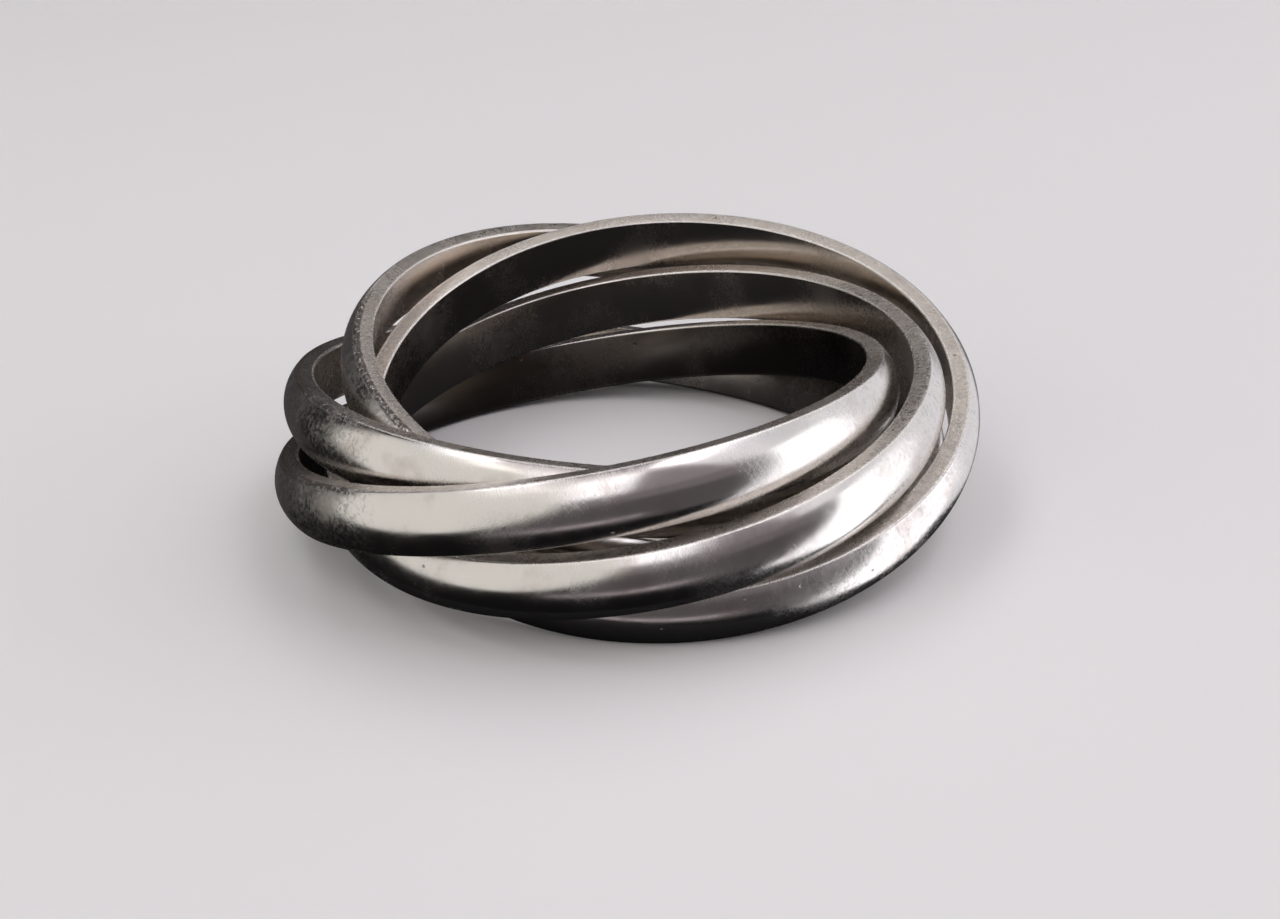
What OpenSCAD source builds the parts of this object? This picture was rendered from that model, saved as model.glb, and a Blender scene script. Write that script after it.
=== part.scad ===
// Finger ring of five equal, plain silver bands that pass through one another.
// The ring lies on its side: +Z is up, the origin is below its middle, on the
// surface that it rests on, and -Y is the front. All lengths are millimetres.

/* [Ring size] */

// Diameter of the hole in each band
inner_diameter = 20; // [14:0.5:26]

/* [Band section] */

// Width of a band, measured along its own axis
band_width = 2.1; // [1.2:0.1:3.6]

// Height of the flat side of a band, from the hole out to the corner line
side_wall = 0.6; // [0.3:0.05:0.9]

// Height of the rounded outside above the corner line
dome_height = 0.4; // [0.15:0.05:0.7]

// Radius of the worn edges, at the hole and along the corner lines
edge_radius = 0.08; // [0.02:0.01:0.12]

/* [Fit] */

// Gap allowed where two bands pass each other
band_gap = 0.1; // [0.05:0.05:0.4]

/* [Hidden] */

$fn = 128;

silver = [0.80, 0.79, 0.77];

// The section of a band, with its flat inner face on the hole.
thickness = side_wall + dome_height;
half_width = band_width / 2;
hole_radius = inner_diameter / 2;
middle_radius = hole_radius + thickness / 2;
dome_radius = (half_width * half_width + dome_height * dome_height) / (2 * dome_height);
dome_centre = hole_radius + thickness - dome_radius;

// Centres of the edge roundings: half a width less one radius from the middle
// of the band, and as far out as lets them touch the hole or the dome.
edge_height = half_width - edge_radius;
edge_inside = hole_radius + edge_radius;
edge_outside = dome_centre + sqrt(pow(dome_radius - edge_radius, 2) - pow(edge_height, 2));

// One step outwards and one step upwards, from which the bands are spread so
// that they clear one another all the way round. A flat side needs more room
// than a rounded top, and a steep band needs more height than a level one.
step_out = 1.2 * side_wall + 0.7 * dome_height + band_gap;
step_up = (band_width + band_gap) * (1 + thickness / middle_radius);

// How each band lies in the bundle. The columns are:
//   shift, how far its centre is moved sideways, in steps outwards
//   towards, the bearing that it is moved to
//   rise, how far its high side stands above its centre, in steps upwards
//   high, the bearing of its high side
//   lift, how far the others hold its low side up, in steps upwards
// Bearings are degrees from +X towards +Y.
lay = [
    [1.30, 212, 1.00, 305, 0.00],
    [0.80, 291, 0.66, 21, 0.38],
    [1.46, 357, 1.14, 84, 0.00],
    [1.44, 51, 1.14, 148, 0.00],
    [1.02, 146, 0.90, 233, 0.00]
];

function shift(row) = row[0] * step_out;
function towards(row) = row[1];
function rise(row) = row[2] * step_up;
function high(row) = row[3];
function lift(row) = row[4] * step_up;

function lean(row) = asin(rise(row) / middle_radius);

function centre_x(row) = shift(row) * cos(towards(row));

function centre_y(row) = shift(row) * sin(towards(row));

// The height at which the low side of the band just meets the surface, and
// the lift on top of it.
function centre_z(row) =
    edge_outside * sin(lean(row)) + edge_height * cos(lean(row)) + edge_radius
    + lift(row);

// How far a band reaches sideways from its centre, along X and along Y.
function reach(along) = dome_centre * sqrt(1 - along * along) + dome_radius;
function reach_x(row) = reach(sin(lean(row)) * cos(high(row)));
function reach_y(row) = reach(sin(lean(row)) * sin(high(row)));

// The middle of the bundle, half way between its two ends along X and along Y.
middle_x = (max([for (row = lay) centre_x(row) + reach_x(row)])
    + min([for (row = lay) centre_x(row) - reach_x(row)])) / 2;
middle_y = (max([for (row = lay) centre_y(row) + reach_y(row)])
    + min([for (row = lay) centre_y(row) - reach_y(row)])) / 2;

// A rounding at each edge of the section, at one distance from the axis.
module edge_pair(out) {
    for (side = [-1, 1])
        translate([out, side * edge_height])
            circle(r = edge_radius);
}

// The dome, out from the line between its two corner roundings. Its sides lie
// on the rays from its own centre, where the roundings meet it.
module dome() {
    far = 2 * (edge_outside - dome_centre);
    intersection() {
        translate([dome_centre, 0])
            circle(r = dome_radius);
        polygon([
            [edge_outside, -edge_height],
            [dome_centre + far, -2 * edge_height],
            [dome_centre + far, 2 * edge_height],
            [edge_outside, edge_height]
        ]);
    }
}

// Half-round section: flat hole face, two flat sides and a domed outside. The
// first block ends inside the dome, so that nothing stays open between them.
module band_section() {
    block_end = edge_outside + edge_radius / 2;
    union() {
        translate([hole_radius, -edge_height])
            square([block_end - hole_radius, 2 * edge_height]);
        translate([edge_inside, -half_width])
            square([edge_outside - edge_inside, band_width]);
        edge_pair(edge_inside);
        edge_pair(edge_outside);
        dome();
    }
}

// One whole band, turned and moved to its place in the bundle.
module band(row) {
    translate([centre_x(row) - middle_x, centre_y(row) - middle_y, centre_z(row)])
        rotate([0, 0, high(row)])
            rotate([0, -lean(row), 0])
                rotate_extrude()
                    band_section();
}

// Top band at the front, outermost at the front left.
module band_1() {
    color(silver)
        band(lay[0]);
}

// Middle band at the front, the most level of the five.
module band_2() {
    color(silver)
        band(lay[1]);
}

// Lowest band at the front, outermost on the right and on top at the back.
module band_3() {
    color(silver)
        band(lay[2]);
}

// Outermost at the back right, on top at the left, inside at the front.
module band_4() {
    color(silver)
        band(lay[3]);
}

// Outermost at the back left, and the second band down on the left.
module band_5() {
    color(silver)
        band(lay[4]);
}

band_1();
band_2();
band_3();
band_4();
band_5();
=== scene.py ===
"""Dresses the finger ring of five plain silver bands that pass through one another.

Every band is one half-round section, turned about its own axis. The polish,
the hairline scratches, the worn corners, the tarnished film and the painted
shade inside the bands and on their left ends are one material that reads each
band's own place, so they stay on the band when it is turned.
"""

from math import asin, atan2, pi, radians, sqrt, tan

import bpy
from bpy.props import FloatProperty, FloatVectorProperty, PointerProperty
from mathutils import Euler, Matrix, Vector


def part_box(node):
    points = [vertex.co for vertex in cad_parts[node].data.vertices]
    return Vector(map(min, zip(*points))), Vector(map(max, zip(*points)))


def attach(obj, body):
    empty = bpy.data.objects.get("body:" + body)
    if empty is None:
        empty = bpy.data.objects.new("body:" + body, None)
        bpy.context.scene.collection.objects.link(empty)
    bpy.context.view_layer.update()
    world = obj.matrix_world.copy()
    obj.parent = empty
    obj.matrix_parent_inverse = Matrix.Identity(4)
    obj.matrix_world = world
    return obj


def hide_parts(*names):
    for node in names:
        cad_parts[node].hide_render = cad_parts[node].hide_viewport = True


bl_info = {
    "name": "Rolling ring of five bands",
    "version": (1, 0, 0),
    "blender": (4, 5, 0),
    "location": "3D View > Sidebar > Ring",
    "description": "Models five polished half-round silver bands and their stage",
    "category": "Add Mesh",
}

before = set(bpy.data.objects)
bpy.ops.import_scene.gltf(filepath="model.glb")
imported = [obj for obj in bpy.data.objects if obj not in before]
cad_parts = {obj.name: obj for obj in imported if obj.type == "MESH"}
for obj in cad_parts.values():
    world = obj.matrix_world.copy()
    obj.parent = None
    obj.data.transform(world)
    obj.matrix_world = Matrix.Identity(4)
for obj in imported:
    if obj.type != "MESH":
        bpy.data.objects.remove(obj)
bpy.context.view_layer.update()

MM = 0.001

# How finely a band is made: points on the dome's full circle, steps of a
# rounded edge, and steps round the band.
DOME_POINTS = 176
EDGE_STEPS = 5
ROUND_STEPS = 288

# Faces that meet at less than this angle, in degrees, are shaded as one.
SMOOTH_BELOW = 40

# How each band lies: how far its high side stands above its centre, in steps
# upwards, and the bearing of that side in degrees from +X towards +Y.
LIE_OF_BANDS = {
    "band_1": (1.00, 305),
    "band_2": (0.66, 21),
    "band_3": (1.14, 84),
    "band_4": (1.14, 148),
    "band_5": (0.90, 233),
}

# Where each band is most worn and dirty, as it lies, and where the strongest
# stretches also paint shade on the flat sides and dome: for each such stretch the
# bearing of its middle, its reach to either side, and how strongly it is worn and
# shaded. Bearings and reaches are degrees, and 1 is the strongest.
WORN_AND_SHADED_STRETCHES = {
    "band_1": ((185, 50, 1.0), (0, 50, 0.35)),
    "band_2": ((0, 50, 0.4), (190, 40, 0.4)),
    "band_3": ((320, 50, 0.35), (180, 40, 0.4)),
    "band_4": ((196, 42, 0.65), (20, 40, 0.3)),
    "band_5": ((180, 50, 1.0), (340, 40, 0.3)),
}

# The soft boxes, seen from the ring. The columns are the name, the bearing from
# the front towards +X, the height above the horizon, the width and the height
# of the box, its colour, its brightness and its shape. The angles are degrees.
# Each brightness was set by the reflection that the photograph shows there.
SOFT_BOXES = (
    ("window", -59, 18, 90, 86, "warm_light", 0.70, "ELLIPSE"),
    ("lamp", 86, -12, 43, 80, "cool_light", 1.5, "RECTANGLE"),
    ("lamp_top", 80, 43, 50, 30, "cool_light", 0.7, "RECTANGLE"),
    ("lamp_edge", 128, 5, 40, 70, "cool_light", 0.8, "RECTANGLE"),
    ("strip", 0, 42, 18, 36, "cool_light", 1.5, "RECTANGLE"),
    ("high", -26, 59, 40, 22, "warm_light", 0.5, "RECTANGLE"),
    ("fill_low", 20, -10, 84, 62, "fill_light", 0.075, "RECTANGLE"),
    ("streak", -6, -33, 46, 7, "fill_light", 0.32, "RECTANGLE"),
    ("fill_high", 28, 42, 66, 42, "fill_light", 0.14, "RECTANGLE"),
    ("fill_upper", 26, 35, 74, 58, "fill_light", 0.08, "RECTANGLE"),
    ("top", 0, 88, 60, 60, "fill_light", 0.20, "RECTANGLE"),
    ("back_high", 168, 54, 66, 22, "warm_light", 1.0, "RECTANGLE"),
    ("edge_left", -108, 67, 46, 18, "cool_light", 1.6, "RECTANGLE"),
    ("edge_right", 84, 68, 46, 18, "cool_light", 1.8, "RECTANGLE"),
    ("fill_back", 192, -4, 80, 56, "fill_light", 0.045, "RECTANGLE"),
)
# Distance of every soft box from the middle of the ring, in metres.
BOX_DISTANCE = 0.40

# The photograph's viewpoint in metres, its turn in degrees, and its lens and
# film width in millimetres.
CAMERA_PLACE = (-0.000235, -0.059095, 0.030292)
CAMERA_TURN = (64.019, 1.728, -1.456)
CAMERA_LENS = 51.1
CAMERA_FILM = 36


class RING_PG_sizes(bpy.types.PropertyGroup):
    """Sizes of one band."""

    inner_diameter: FloatProperty(
        name="Inner diameter",
        description="Diameter of the hole in each band",
        default=20 * MM,
        min=10 * MM,
        unit="LENGTH",
    )
    band_width: FloatProperty(
        name="Band width",
        description="Width of a band along its own axis",
        default=2.1 * MM,
        min=1 * MM,
        unit="LENGTH",
    )
    side_wall: FloatProperty(
        name="Side wall",
        description="Height of the flat side of a band",
        default=0.6 * MM,
        min=0.2 * MM,
        unit="LENGTH",
    )
    dome_height: FloatProperty(
        name="Dome height",
        description="Height of the rounded outside above the corner line",
        default=0.4 * MM,
        min=0.1 * MM,
        unit="LENGTH",
    )
    edge_radius: FloatProperty(
        name="Edge radius",
        description="Radius of the worn edges",
        default=0.08 * MM,
        min=0.01 * MM,
        unit="LENGTH",
    )
    band_gap: FloatProperty(
        name="Band gap",
        description="Gap allowed where two bands pass each other",
        default=0.1 * MM,
        min=0,
        unit="LENGTH",
    )


class RING_PG_colours(bpy.types.PropertyGroup):
    """Colours of the silver and of the stage."""

    silver: FloatVectorProperty(
        name="Silver",
        description="Clean polished silver",
        subtype="COLOR",
        size=3,
        min=0,
        max=1,
        default=(0.87, 0.835, 0.785),
    )
    # Also laid over the inside faces as painted shade.
    tarnish_and_shade: FloatVectorProperty(
        name="Tarnish",
        description="Thin brown film on the flat sides and inside the bands",
        subtype="COLOR",
        size=3,
        min=0,
        max=1,
        default=(0.46, 0.38, 0.31),
    )
    haze: FloatVectorProperty(
        name="Haze",
        description="Dull grey bloom where the polish is handled",
        subtype="COLOR",
        size=3,
        min=0,
        max=1,
        default=(0.56, 0.53, 0.55),
    )
    # Also painted shade inside the first band and on the bands' worn left ends.
    grime_and_shade: FloatVectorProperty(
        name="Grime",
        description="Dark dirt in pits, along worn corners and inside the first band",
        subtype="COLOR",
        size=3,
        min=0,
        max=1,
        default=(0.10, 0.085, 0.075),
    )
    floor: FloatVectorProperty(
        name="Floor",
        description="Plain pale floor",
        subtype="COLOR",
        size=3,
        min=0,
        max=1,
        default=(0.93, 0.92, 0.91),
    )
    warm_light: FloatVectorProperty(
        name="Warm light",
        description="Soft boxes at the front left and high behind",
        subtype="COLOR",
        size=3,
        min=0,
        max=1,
        default=(1.0, 0.975, 0.95),
    )
    cool_light: FloatVectorProperty(
        name="Cool light",
        description="Bright soft boxes on the right, and small ones high up",
        subtype="COLOR",
        size=3,
        min=0,
        max=1,
        default=(0.95, 0.94, 1.0),
    )
    fill_light: FloatVectorProperty(
        name="Fill light",
        description="Faint mauve soft boxes in front, above and behind",
        subtype="COLOR",
        size=3,
        min=0,
        max=1,
        default=(0.98, 0.87, 0.95),
    )


def deselect_all():
    """Leaves edit mode with nothing selected."""
    if bpy.context.object and bpy.context.object.mode != "OBJECT":
        bpy.ops.object.mode_set(mode="OBJECT")
    bpy.ops.object.select_all(action="DESELECT")


def pick_vertices(piece, wanted):
    """Selects, in edit mode, the vertices whose place passes the test."""
    bpy.ops.mesh.select_all(action="DESELECT")
    bpy.ops.mesh.select_mode(type="VERT")
    bpy.ops.object.mode_set(mode="OBJECT")
    for vertex in piece.data.vertices:
        vertex.select = wanted(vertex.co)
    bpy.ops.object.mode_set(mode="EDIT")


def draw_section(sizes):
    """Draws the half-round section in the XZ plane, as one face."""
    hole = sizes.inner_diameter / 2
    half = sizes.band_width / 2
    dome = (half**2 + sizes.dome_height**2) / (2 * sizes.dome_height)
    centre = hole + sizes.side_wall + sizes.dome_height - dome
    corner = hole + sizes.side_wall
    edge = sizes.edge_radius
    flat = 0.999 * half  # what is farther out than this lies on a flat side

    deselect_all()
    bpy.ops.mesh.primitive_circle_add(
        vertices=DOME_POINTS,
        radius=dome,
        fill_type="NGON",
        location=(centre, 0, 0),
        rotation=(pi / 2, 0, 0),
    )
    band = bpy.context.object
    bpy.ops.object.transform_apply(location=True, rotation=True, scale=True)
    bpy.ops.object.mode_set(mode="EDIT")
    for place, facing in (
        ((hole, 0, 0), (-1, 0, 0)),
        ((0, 0, half), (0, 0, 1)),
        ((0, 0, -half), (0, 0, -1)),
    ):
        bpy.ops.mesh.select_all(action="SELECT")
        bpy.ops.mesh.bisect(
            plane_co=place, plane_no=facing, clear_outer=True, threshold=1e-7
        )

    # The rounding at the dome needs a straight run as long as its tangent.
    turn = pi / 2 - asin(half / dome)
    tangent = edge * tan(turn / 2)

    def crowds_a_corner(co):
        gap = sqrt((co.x - corner) ** 2 + (abs(co.z) - half) ** 2)
        return abs(co.z) < flat and gap < 1.6 * tangent

    pick_vertices(band, crowds_a_corner)
    bpy.ops.mesh.dissolve_verts()
    for out, run in ((hole, edge), (corner, tangent)):
        pick_vertices(
            band,
            lambda co: abs(co.x - out) < 0.002 * MM and abs(co.z) > flat,
        )
        bpy.ops.mesh.bevel(
            offset=run,
            segments=EDGE_STEPS,
            profile=0.5,
            affect="VERTICES",
            clamp_overlap=False,
        )
    return band


def spin_section(band):
    """Turns the section once round +Z into a closed, outward-facing band."""
    bpy.ops.mesh.select_all(action="SELECT")
    bpy.ops.mesh.delete(type="ONLY_FACE")
    bpy.ops.mesh.select_all(action="SELECT")
    bpy.ops.mesh.spin(
        steps=ROUND_STEPS,
        angle=2 * pi,
        center=(0, 0, 0),
        axis=(0, 0, 1),
        use_auto_merge=True,
    )
    bpy.ops.mesh.select_all(action="SELECT")
    bpy.ops.mesh.remove_doubles(threshold=1e-6)
    bpy.ops.mesh.normals_make_consistent(inside=False)
    bpy.ops.object.mode_set(mode="OBJECT")
    bpy.ops.object.shade_smooth_by_angle(angle=radians(SMOOTH_BELOW))
    bpy.ops.object.modifier_add(type="WEIGHTED_NORMAL")
    bpy.ops.object.modifier_apply(modifier=band.modifiers[0].name)


def keep_own_place(band):
    """Stores each vertex's place on the band before it is laid down, in mm."""
    places = band.data.attributes.new("own_place", "FLOAT_VECTOR", "POINT")
    flat = [length / MM for vertex in band.data.vertices for length in vertex.co]
    places.data.foreach_set("vector", flat)


def lean_of(node, sizes):
    """The angle that a band leans by, from its rise in steps upwards."""
    thickness = sizes.side_wall + sizes.dome_height
    middle = (sizes.inner_diameter + thickness) / 2
    step_up = (sizes.band_width + sizes.band_gap) * (1 + thickness / middle)
    return asin(LIE_OF_BANDS[node][0] * step_up / middle)


def mark_wear_and_shade(band, node, number):
    """Stores the band's own number and, round it, how worn each stretch is and how
    much painted shade it takes.
    """
    count = len(band.data.vertices)
    own = band.data.attributes.new("own_number", "FLOAT", "POINT")
    own.data.foreach_set("value", [float(number)] * count)
    shares = [0.0] * count
    for bearing, reach, strength in WORN_AND_SHADED_STRETCHES[node]:
        middle = radians(bearing - LIE_OF_BANDS[node][1])
        for index, vertex in enumerate(band.data.vertices):
            away = atan2(vertex.co.y, vertex.co.x) - middle
            away = abs((away + pi) % (2 * pi) - pi) / radians(reach)
            share = strength * max(0.0, 1.0 - away**2) ** 0.5
            shares[index] = max(shares[index], share)
    wear_and_shade = band.data.attributes.new("own_wear", "FLOAT", "POINT")
    wear_and_shade.data.foreach_set("value", shares)


def lay_band(band, node, sizes):
    """Leans the band, turns it and moves it onto its node of the frame."""
    bearing = LIE_OF_BANDS[node][1]
    low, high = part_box(node)
    deselect_all()
    band.select_set(True)
    bpy.context.view_layer.objects.active = band
    band.rotation_euler = Euler((0, -lean_of(node, sizes), radians(bearing)))
    band.location = (low + high) / 2
    bpy.ops.object.transform_apply(location=True, rotation=True, scale=True)
    corners = [Vector(corner) for corner in band.bound_box]
    lowest = Vector(min(corner[i] for corner in corners) for i in range(3))
    if (lowest - low).length > 0.05 * MM:
        raise RuntimeError(f"{node} doesn't lie on its node: {lowest} and {low}")


class RING_OT_bands(bpy.types.Operator):
    """Model one band and lay five of it on the frame's bands"""

    bl_idname = "ring.bands"
    bl_label = "Bands"
    bl_options = {"REGISTER", "UNDO"}

    def execute(self, context):
        sizes = context.scene.ring_sizes
        pattern = draw_section(sizes)
        spin_section(pattern)
        keep_own_place(pattern)
        silver = worn_silver(sizes, context.scene.ring_colours)
        for number, node in enumerate(sorted(LIE_OF_BANDS)):
            band = pattern.copy()
            band.data = pattern.data.copy()
            band.name = band.data.name = "silver_" + node
            context.collection.objects.link(band)
            mark_wear_and_shade(band, node, number)
            band.data.materials.append(silver)
            lay_band(band, node, sizes)
            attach(band, node)
            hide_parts(node)
        bpy.data.objects.remove(pattern)
        return {"FINISHED"}


class Measure:
    """A number that varies over a surface, with ordinary arithmetic."""

    def __init__(self, finish, socket):
        self.finish = finish
        self.socket = socket

    def _maths(self, operation, *values):
        return self.finish.number("ShaderNodeMath", {"operation": operation}, *values)

    def __add__(self, other):
        return self._maths("ADD", self, other)

    def __radd__(self, other):
        return self._maths("ADD", other, self)

    def __sub__(self, other):
        return self._maths("SUBTRACT", self, other)

    def __rsub__(self, other):
        return self._maths("SUBTRACT", other, self)

    def __mul__(self, other):
        return self._maths("MULTIPLY", self, other)

    def __truediv__(self, other):
        return self._maths("DIVIDE", self, other)

    def __pow__(self, power):
        return self._maths("POWER", self, power)

    def __abs__(self):
        return self._maths("ABSOLUTE", self)

    def root(self):
        return self._maths("SQRT", self)

    def most(self, other):
        return self._maths("MAXIMUM", self, other)

    def least(self, other):
        return self._maths("MINIMUM", self, other)

    def fade(self, start, end):
        """0 at start and 1 at end, smoothly; start may be the larger."""
        low, high = min(start, end), max(start, end)
        to_low, to_high = (0.0, 1.0) if start < end else (1.0, 0.0)
        return self.finish.number(
            "ShaderNodeMapRange",
            {"interpolation_type": "SMOOTHSTEP"},
            self,
            low,
            high,
            to_low,
            to_high,
        )


class Finish:
    """Builds one node material, a node at a time."""

    def __init__(self, name):
        self.material = bpy.data.materials.new(name)
        self.material.use_nodes = True
        self.tree = self.material.node_tree
        self.shader = self.tree.nodes["Principled BSDF"]

    def node(self, kind, settings=None, *values, **named):
        """Adds a node: its settings first, then its inputs in order or by name."""
        node = self.tree.nodes.new(kind)
        for key, value in (settings or {}).items():
            setattr(node, key, value)
        for slot, value in enumerate(values):
            self.feed(node.inputs[slot], value)
        for key, value in named.items():
            self.feed(node.inputs[key], value)
        return node

    def feed(self, target, value):
        """Links a socket to an input, or sets the input's own value."""
        if isinstance(value, Measure):
            value = value.socket
        if isinstance(value, bpy.types.NodeSocket):
            self.tree.links.new(value, target)
        else:
            target.default_value = value

    def number(self, kind, settings, *values):
        """A node whose first output is a number."""
        return Measure(self, self.node(kind, settings, *values).outputs[0])

    def attribute(self, name):
        """A number stored on the mesh."""
        node = self.node("ShaderNodeAttribute", {"attribute_name": name})
        return Measure(self, node.outputs["Fac"])

    def vector(self, operation, *values):
        """One step of vector arithmetic."""
        node = self.tree.nodes.new("ShaderNodeVectorMath")
        node.operation = operation
        slots = [s for s in node.inputs if s.enabled]
        for target, value in zip(slots, values):
            self.feed(target, value)
        return node.outputs["Vector"]

    def join(self, x, y, z):
        return self.node("ShaderNodeCombineXYZ", None, x, y, z).outputs[0]

    def noise(self, place, scale, detail, roughness):
        """Soft cloudy noise, 0 to 1; the scale is in clouds per unit of place."""
        node = self.node(
            "ShaderNodeTexNoise",
            None,
            Vector=place,
            Scale=scale,
            Detail=detail,
            Roughness=roughness,
        )
        return Measure(self, node.outputs[0])

    def cells(self, place, scale):
        """Distance to the nearest of some scattered points, and its own number."""
        node = self.node("ShaderNodeTexVoronoi", None, Vector=place, Scale=scale)
        split = self.node("ShaderNodeSeparateColor", None, node.outputs["Color"])
        return Measure(self, node.outputs["Distance"]), Measure(self, split.outputs[0])

    def blend(self, share, first, second):
        """Two colours mixed by a share."""
        node = self.tree.nodes.new("ShaderNodeMix")
        node.data_type = "RGBA"
        slots = [s for s in node.inputs if s.enabled]
        for target, value in zip(slots, (share, first, second)):
            self.feed(target, value)
        return [s for s in node.outputs if s.enabled][0]


def rgba(colour):
    return (*colour, 1.0)


def worn_silver(sizes, colours):
    """Polished silver with scratches, worn corners, pits, tarnished film and painted
    shade.

    Lengths in it are millimetres in the band's own place.
    """
    paint = Finish("worn_silver")
    own = paint.node("ShaderNodeAttribute", {"attribute_name": "own_place"})
    place = own.outputs["Vector"]
    number = paint.attribute("own_number")
    wear_and_shade = paint.attribute("own_wear")
    split = paint.node("ShaderNodeSeparateXYZ", None, place)
    x, y, z = (Measure(paint, socket) for socket in split.outputs)
    out = (x * x + y * y).root()

    # Each band reads another part of the noises, so that no two look alike.
    own_shift = paint.join(number * 31.7, number * 17.3, number * 9.1)
    shifted = paint.vector("ADD", place, own_shift)

    # Which of the band's faces this is, and how far its edges are.
    hole_radius = sizes.inner_diameter / 2 / MM
    corner_radius = hole_radius + sizes.side_wall / MM
    half_width = sizes.band_width / 2 / MM
    edge = sizes.edge_radius / MM
    hole = out.fade(hole_radius + edge, hole_radius + edge / 5)
    side = abs(z).fade(half_width - 0.6 * edge, half_width - 0.1 * edge)
    across = abs(z) - half_width
    corner = ((out - corner_radius) ** 2 + across**2).root()
    rim = ((out - hole_radius) ** 2 + across**2).root()

    # Directions on the band: x and y on the unit circle round its axis.
    round_x, round_y = x / out, y / out
    over = z + out

    def slanted(twist, reach, count):
        """A place that stretches marks across the band, so many to a turn."""
        turned = paint.node(
            "ShaderNodeVectorRotate",
            {"rotation_type": "Z_AXIS"},
            Vector=paint.join(round_x * count, round_y * count, over * reach),
            Angle=over * twist,
        )
        return turned.outputs[0]

    def scratches(place, width):
        """Thin lines where a stretched noise crosses its middle level."""
        return abs(paint.noise(place, 1.0, 4, 0.6) - 0.5).fade(width, 0.0)

    # Every mark below is a share from 0 to 1. A fade runs from where the mark
    # begins to where it is full.
    smudges = paint.noise(shifted, 0.32, 4, 0.55)
    mottle = paint.noise(shifted, 1.5, 6, 0.62)
    clouds = paint.noise(shifted, 0.16, 3, 0.5)
    grain = paint.noise(shifted, 11.0, 4, 0.6)
    specks = paint.noise(shifted, 6.0, 6, 0.75)

    # Long fine scratches run round the band, shorter ones cross it.
    along = paint.join(round_x * 4 + number * 5, round_y * 4, over * 22)
    lines_round = scratches(along, 0.03)
    lines_up = scratches(slanted(0.05, 1.3, 75), 0.03)
    lines_down = scratches(slanted(-0.09, 1.9, 60), 0.03)
    rubbed = smudges.fade(0.45, 0.65)
    hairlines = lines_round * 0.15 + lines_up * 0.7 + lines_down * 0.6
    hairlines = hairlines * (rubbed * 0.8 + 0.2)

    # The flat sides are hatched by slanting scratches.
    hatch_up = scratches(slanted(0.06, 3.0, 150), 0.05)
    hatch_down = scratches(slanted(-0.05, 4.0, 120), 0.05)
    hatch = ((hatch_up + hatch_down) * side).least(1.0)

    # Small nicks are few. Where the band is worn, its corners are chipped in a
    # ragged line, and pits crowd beside them.
    distance, chance = paint.cells(shifted, 1.6)
    nicks = distance.fade(0.12, 0.05) * chance.fade(0.78, 0.84)
    beside = corner.fade(0.30, 0.03) * wear_and_shade.fade(0.6, 0.9)
    chips = (specks + wear_and_shade * 0.25).fade(0.58, 0.64) * wear_and_shade.fade(0.42, 0.58)
    chips = chips * corner.fade(0.19, 0.10)
    pits = specks.fade(0.47, 0.62) * (wear_and_shade * 0.8 + beside * 0.6)
    pits = pits * mottle.fade(0.36, 0.58)
    dirt = (pits * 0.8 + chips + nicks * 0.5).least(1.0)

    # Painted shade: the first band, which lies lowest at the back, is darkened inside.
    inside_shade = number.fade(0.5, 0.0) * 0.85

    # The bloom keeps to the sheltered places, rubbed edges stay bright, and thin
    # brown smears lie on the flat sides and the dome.
    film = (mottle * 0.4 + clouds * 0.9).fade(0.45, 1.05)
    sheltered = hole * 0.5 + side * 0.4 + corner.fade(0.5, 0.1) * 0.3 + wear_and_shade * 0.25
    film = (film * (0.12 + sheltered)).least(1.0)
    bright = corner.fade(0.12, 0.04).most(rim.fade(0.12, 0.04)) * (1 - chips)
    worn_grime_and_shade = wear_and_shade.fade(0.6, 1.0)
    smears = paint.noise(shifted, 0.7, 3, 0.5).fade(0.50, 0.72) * (1 - hole) * 0.35

    # Colour: clean silver with each film, dirt and painted shade laid over the one
    # before.
    colour = paint.blend(film, rgba(colours.silver), rgba(colours.haze))
    colour = paint.blend(smears, colour, rgba(colours.tarnish_and_shade))
    # Painted shade: the inside faces are darkened with the brown tarnished film
    # colour.
    colour = paint.blend(hole * 0.5, colour, rgba(colours.tarnish_and_shade))
    colour = paint.blend(side * 0.45, colour, rgba(colours.tarnish_and_shade))
    # Grime over the most worn stretches, deepest on the flat sides, which is also
    # painted shade on the bands' left ends.
    colour = paint.blend(worn_grime_and_shade * (0.3 + side * 0.6), colour, rgba(colours.grime_and_shade))
    # Painted shade inside the first band.
    colour = paint.blend(hole * inside_shade, colour, rgba(colours.grime_and_shade))
    colour = paint.blend(hatch * 0.25, colour, rgba(colours.silver))
    colour = paint.blend(dirt * 0.9, colour, rgba(colours.grime_and_shade))
    colour = paint.blend(bright * 0.85, colour, rgba(colours.silver))

    # Roughness: that of the clean polish, and what each mark adds to it.
    roughness = (
        0.155
        + smudges.fade(0.42, 0.7) * 0.10
        + hole * 0.02
        + wear_and_shade * (1 - side * 0.6) * (0.04 + specks.fade(0.42, 0.6) * 0.11)
        + film * 0.07
        + smears * 0.15
        + dirt * 0.25
        + hairlines * 0.08
        + hatch * 0.06
        - bright * 0.05
    )

    # Height in millimetres: a faint waviness, with the marks sunk into it.
    height = (
        paint.noise(shifted, 0.28, 2, 0.5) * 0.006
        + mottle * 0.0005
        - hairlines * 0.0006
        - hatch * 0.0045
        - nicks * 0.010
        - chips * 0.012
        - pits * 0.002
        + grain * (wear_and_shade * (1 - side * 0.7) * 0.0020 + hole * 0.0008)
    )
    bump = paint.node("ShaderNodeBump", None, Strength=1.0, Distance=MM, Height=height)
    paint.feed(paint.shader.inputs["Metallic"], 1.0)
    paint.feed(paint.shader.inputs["Base Color"], colour)
    paint.feed(paint.shader.inputs["Roughness"], roughness)
    paint.feed(paint.shader.inputs["Normal"], bump.outputs[0])
    return paint.material


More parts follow.
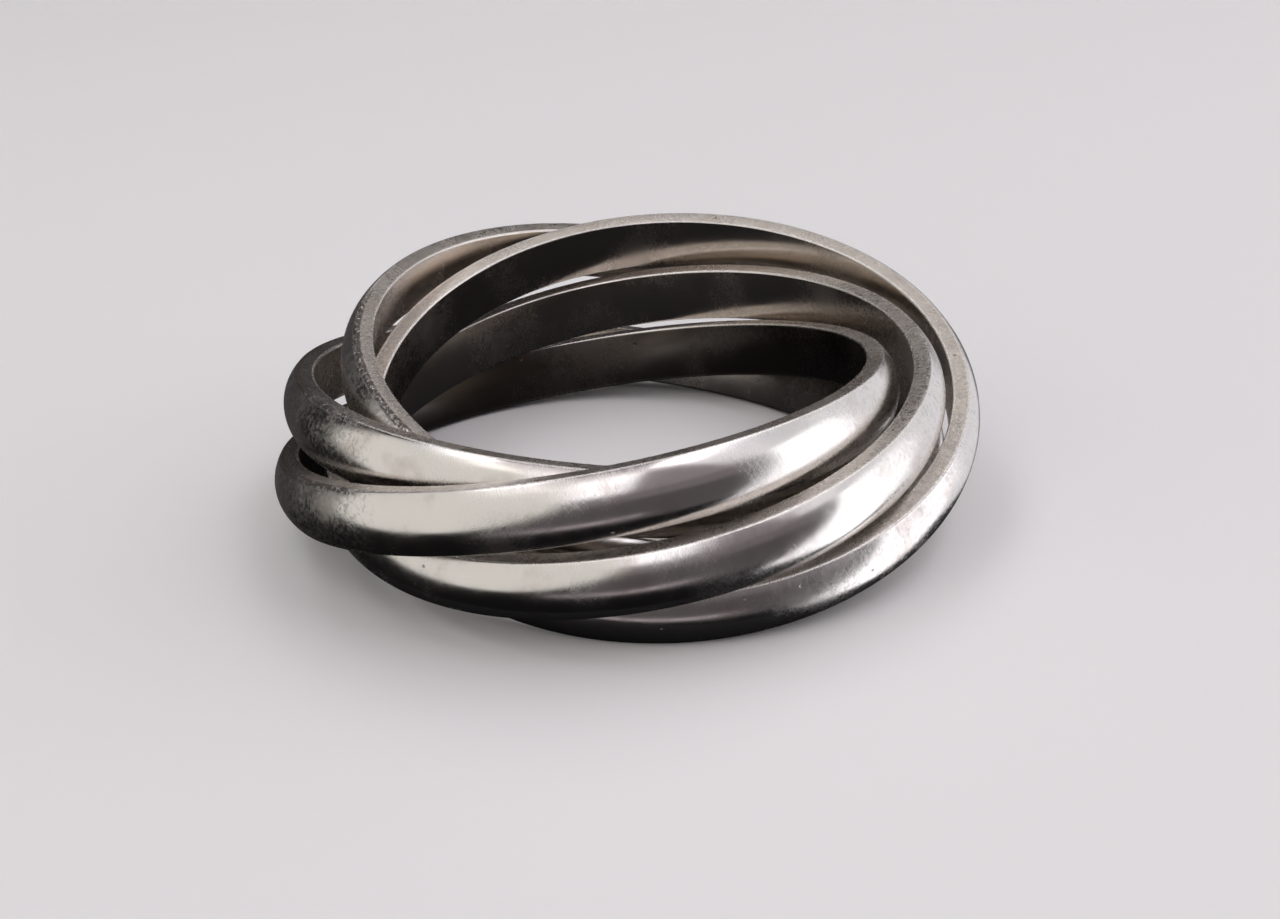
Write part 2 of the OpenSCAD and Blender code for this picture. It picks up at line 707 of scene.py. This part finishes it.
def soft_box(name, bearing, height, wide, tall, colour, brightness, shape):
    """Hangs one soft box, hidden from the camera, facing the ring."""
    facing = Euler((radians(90 - height), 0, radians(bearing)))
    place = Vector((0, 0, BOX_DISTANCE))
    place.rotate(facing)
    data = bpy.data.lights.new(name, "AREA")
    data.shape = shape
    data.size = 2 * BOX_DISTANCE * tan(radians(wide / 2))
    data.size_y = 2 * BOX_DISTANCE * tan(radians(tall / 2))
    area = data.size * data.size_y * (pi / 4 if shape == "ELLIPSE" else 1)
    data.energy = brightness * pi * area
    data.color = colour
    light = bpy.data.objects.new(name, data)
    light.location = place
    light.rotation_euler = facing
    light.visible_camera = False
    bpy.context.collection.objects.link(light)


class RING_OT_stage(bpy.types.Operator):
    """Add the pale floor, the soft studio light and the camera"""

    bl_idname = "ring.stage"
    bl_label = "Stage"
    bl_options = {"REGISTER", "UNDO"}

    def execute(self, context):
        colours = context.scene.ring_colours
        deselect_all()
        bpy.ops.mesh.primitive_plane_add(size=1.6)
        floor = context.object
        floor.name = floor.data.name = "floor"
        paint = Finish("pale_floor")
        paint.feed(paint.shader.inputs["Base Color"], rgba(colours.floor))
        paint.feed(paint.shader.inputs["Roughness"], 0.9)
        floor.data.materials.append(paint.material)

        # A black card just under the floor keeps the inside of the ring dark.
        bpy.ops.mesh.primitive_circle_add(
            vertices=64, radius=12 * MM, fill_type="NGON", location=(0, 0, -0.1 * MM)
        )
        card = context.object
        card.name = card.data.name = "card"
        paint = Finish("black_card")
        paint.feed(paint.shader.inputs["Base Color"], (0.01, 0.01, 0.012, 1))
        paint.feed(paint.shader.inputs["Roughness"], 0.9)
        card.data.materials.append(paint.material)

        # The polish mirrors the studio round it, also from below, not the floor.
        floor.visible_glossy = False
        floor.visible_shadow = False

        # A faint mauve glow all round, so that no mirrored spot is quite black.
        world = bpy.data.worlds.new("studio")
        world.use_nodes = True
        sky = world.node_tree.nodes["Background"]
        sky.inputs["Color"].default_value = (0.80, 0.76, 0.82, 1)
        sky.inputs["Strength"].default_value = 0.006
        context.scene.world = world
        context.scene.view_settings.view_transform = "Standard"

        for name, bearing, height, wide, tall, colour, brightness, shape in SOFT_BOXES:
            tint = getattr(colours, colour)
            soft_box(name, bearing, height, wide, tall, tint, brightness, shape)

        lens = bpy.data.cameras.new("camera")
        lens.sensor_width = CAMERA_FILM
        lens.lens = CAMERA_LENS
        camera = bpy.data.objects.new("camera", lens)
        camera.location = CAMERA_PLACE
        camera.rotation_euler = [radians(angle) for angle in CAMERA_TURN]
        lens.clip_start = 0.002
        context.collection.objects.link(camera)
        context.scene.camera = camera
        return {"FINISHED"}


class RING_PT_panel(bpy.types.Panel):
    """Sizes, colours and pieces of the ring"""

    bl_label = "Ring"
    bl_idname = "RING_PT_panel"
    bl_space_type = "VIEW_3D"
    bl_region_type = "UI"
    bl_category = "Ring"

    def draw(self, context):
        for group in (context.scene.ring_sizes, context.scene.ring_colours):
            column = self.layout.column(align=True)
            for name in group.__annotations__:
                column.prop(group, name)
        for step in STEPS:
            self.layout.operator(step.bl_idname)


STEPS = (RING_OT_stage, RING_OT_bands)
CLASSES = (RING_PG_sizes, RING_PG_colours, *STEPS, RING_PT_panel)


def register():
    for each in CLASSES:
        bpy.utils.register_class(each)
    bpy.types.Scene.ring_sizes = PointerProperty(type=RING_PG_sizes)
    bpy.types.Scene.ring_colours = PointerProperty(type=RING_PG_colours)


def unregister():
    del bpy.types.Scene.ring_colours
    del bpy.types.Scene.ring_sizes
    for each in reversed(CLASSES):
        bpy.utils.unregister_class(each)


def main():
    register()
    bpy.ops.ring.stage()
    bpy.ops.ring.bands()


if __name__ == "__main__":
    main()
